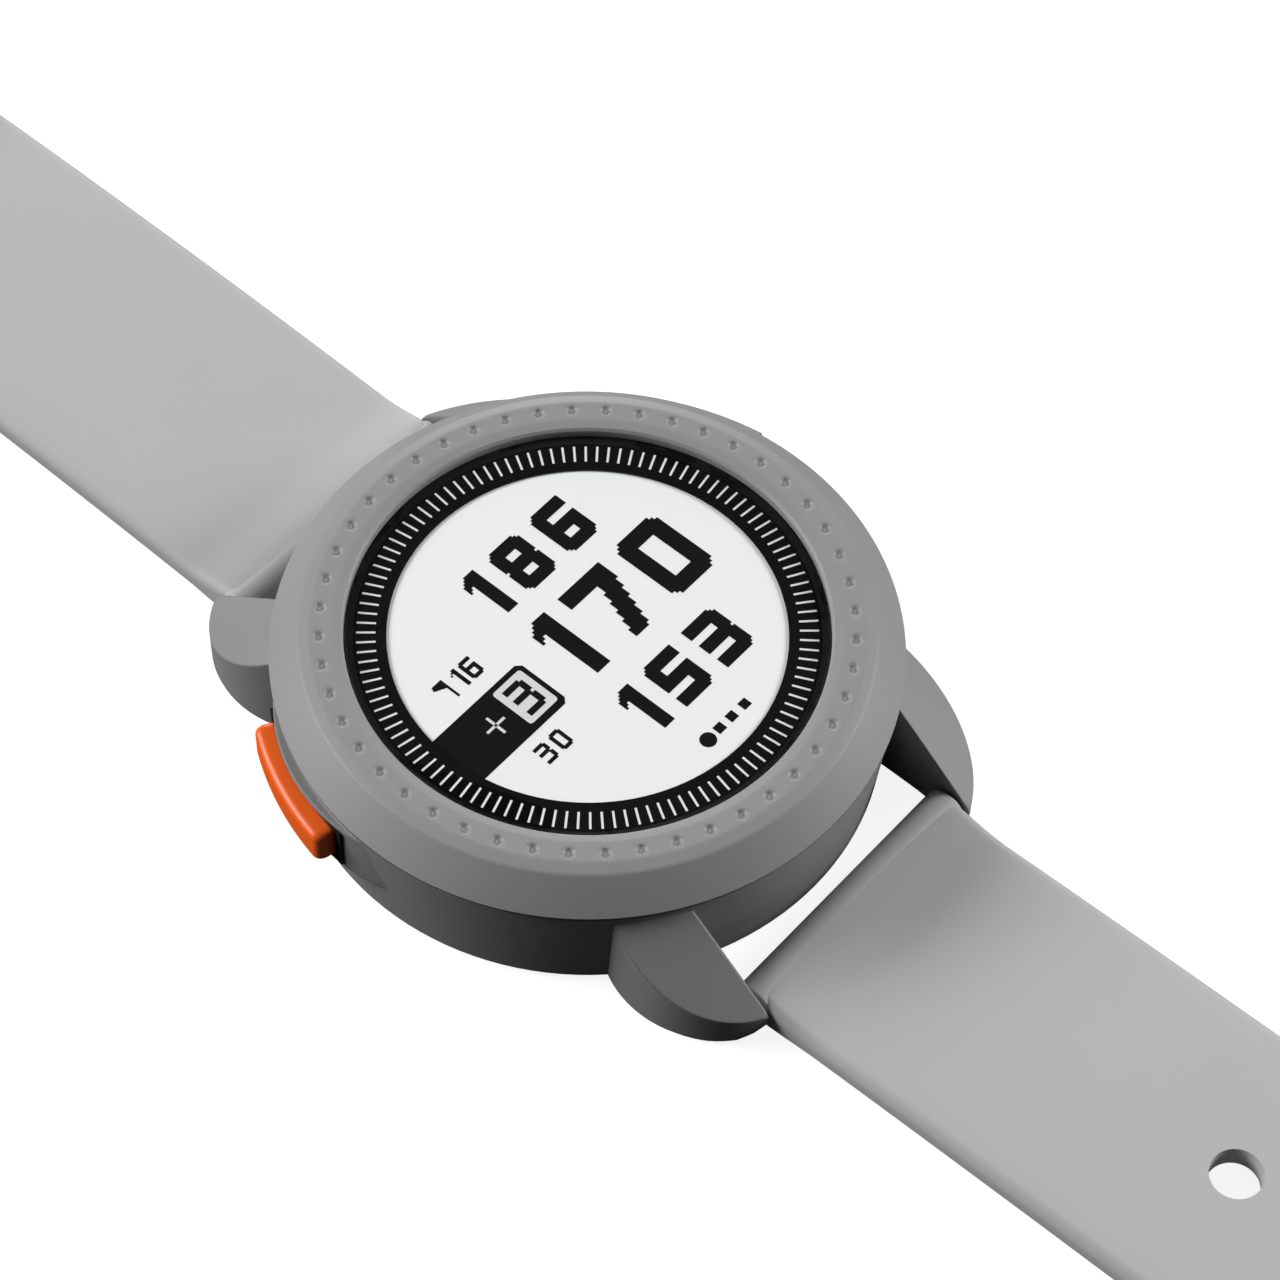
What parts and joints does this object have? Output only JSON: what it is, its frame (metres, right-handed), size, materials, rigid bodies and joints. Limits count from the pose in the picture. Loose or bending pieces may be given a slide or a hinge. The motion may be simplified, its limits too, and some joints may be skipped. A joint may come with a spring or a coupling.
{
  "type": "golf gps watch",
  "caption": "Round wrist watch with dimpled bezel, flat reflective display, two side keys and a two-piece silicone strap with pin buckle, laid out flat.",
  "frame": {"origin": "centre of the case back's resting face, on the case's axis", "axes": "+Z out of the display, +Y towards 12 o'clock (the buckle half of the strap), +X towards 3 o'clock"},
  "size_m": [0.0482, 0.2638, 0.0128],
  "materials": {
    "bezel_plastic": "satin",
    "case_plastic": "matte",
    "dark_plastic": "matte",
    "lens_glass": "gloss",
    "display_face": "satin",
    "print_black": "gloss",
    "black_rubber": "matte",
    "silicone": "matte",
    "orange_key": "satin",
    "steel": "satin",
    "buckle_metal": "satin",
    "gold_pad": "satin",
    "board_green": "satin",
    "ceramic": "matte",
    "cell_foil": "satin"
  },
  "bodies": {
    "case": {"bezel": "bezel_plastic", "glass": "lens_glass", "glass_gasket": "black_rubber", "dial_ring": "print_black", "display_panel": "display_face", "display_carrier": "dark_plastic", "case_body": "case_plastic", "case_back": "dark_plastic", "back_seal": "black_rubber", "back_screws": "steel", "main_board": "board_green", "board_screws": "steel", "shield_can": "steel", "gps_antenna": "ceramic", "battery": "cell_foil", "vibration_motor": "steel", "charge_contacts": "gold_pad", "left_key_gasket": "black_rubber", "right_key_gasket": "black_rubber", "stem_seals": "black_rubber", "left_switch": "dark_plastic", "right_switch": "dark_plastic", "spring_bar_12": "steel", "spring_bar_6": "steel"},
    "key_left": {"left_key": "orange_key", "left_key_clip": "steel"},
    "key_right": {"right_key": "case_plastic", "right_key_clip": "steel"},
    "strap_upper": {"strap_buckle_half": "silicone", "fixed_keeper": "silicone", "buckle_bar": "steel"},
    "strap_lower": {"strap_hole_half": "silicone"},
    "keeper_loop": {"sliding_keeper": "silicone"},
    "buckle": {"buckle_frame": "buckle_metal"},
    "tongue": {"buckle_tongue": "buckle_metal"}
  },
  "joints": [
    {"name": "left_key_press", "type": "slide", "parent": "case", "child": "key_left", "axis": [0.9272, -0.3746, 0], "range_m": [0, 0.0006], "stiffness_N_per_m": 900},
    {"name": "right_key_press", "type": "slide", "parent": "case", "child": "key_right", "axis": [-0.9272, -0.3746, 0], "range_m": [0, 0.0006], "stiffness_N_per_m": 900},
    {"name": "upper_strap_pivot", "type": "hinge", "parent": "case", "child": "strap_upper", "pos_m": [0, 0.0251, 0.0019], "axis": [1, 0, 0], "range_deg": [-80, 20]},
    {"name": "lower_strap_pivot", "type": "hinge", "parent": "case", "child": "strap_lower", "pos_m": [0, -0.0251, 0.0019], "axis": [1, 0, 0], "range_deg": [-20, 80]},
    {"name": "keeper_slide", "type": "slide", "parent": "strap_upper", "child": "keeper_loop", "axis": [0, 1, 0], "range_m": [-0.004, 0.003]},
    {"name": "buckle_pivot", "type": "hinge", "parent": "strap_upper", "child": "buckle", "pos_m": [0, 0.1051, 0.00115], "axis": [1, 0, 0], "range_deg": [-30, 60]},
    {"name": "tongue_pivot", "type": "hinge", "parent": "buckle", "child": "tongue", "pos_m": [0, 0.1051, 0.00115], "axis": [1, 0, 0], "range_deg": [0, 60]}
  ]
}
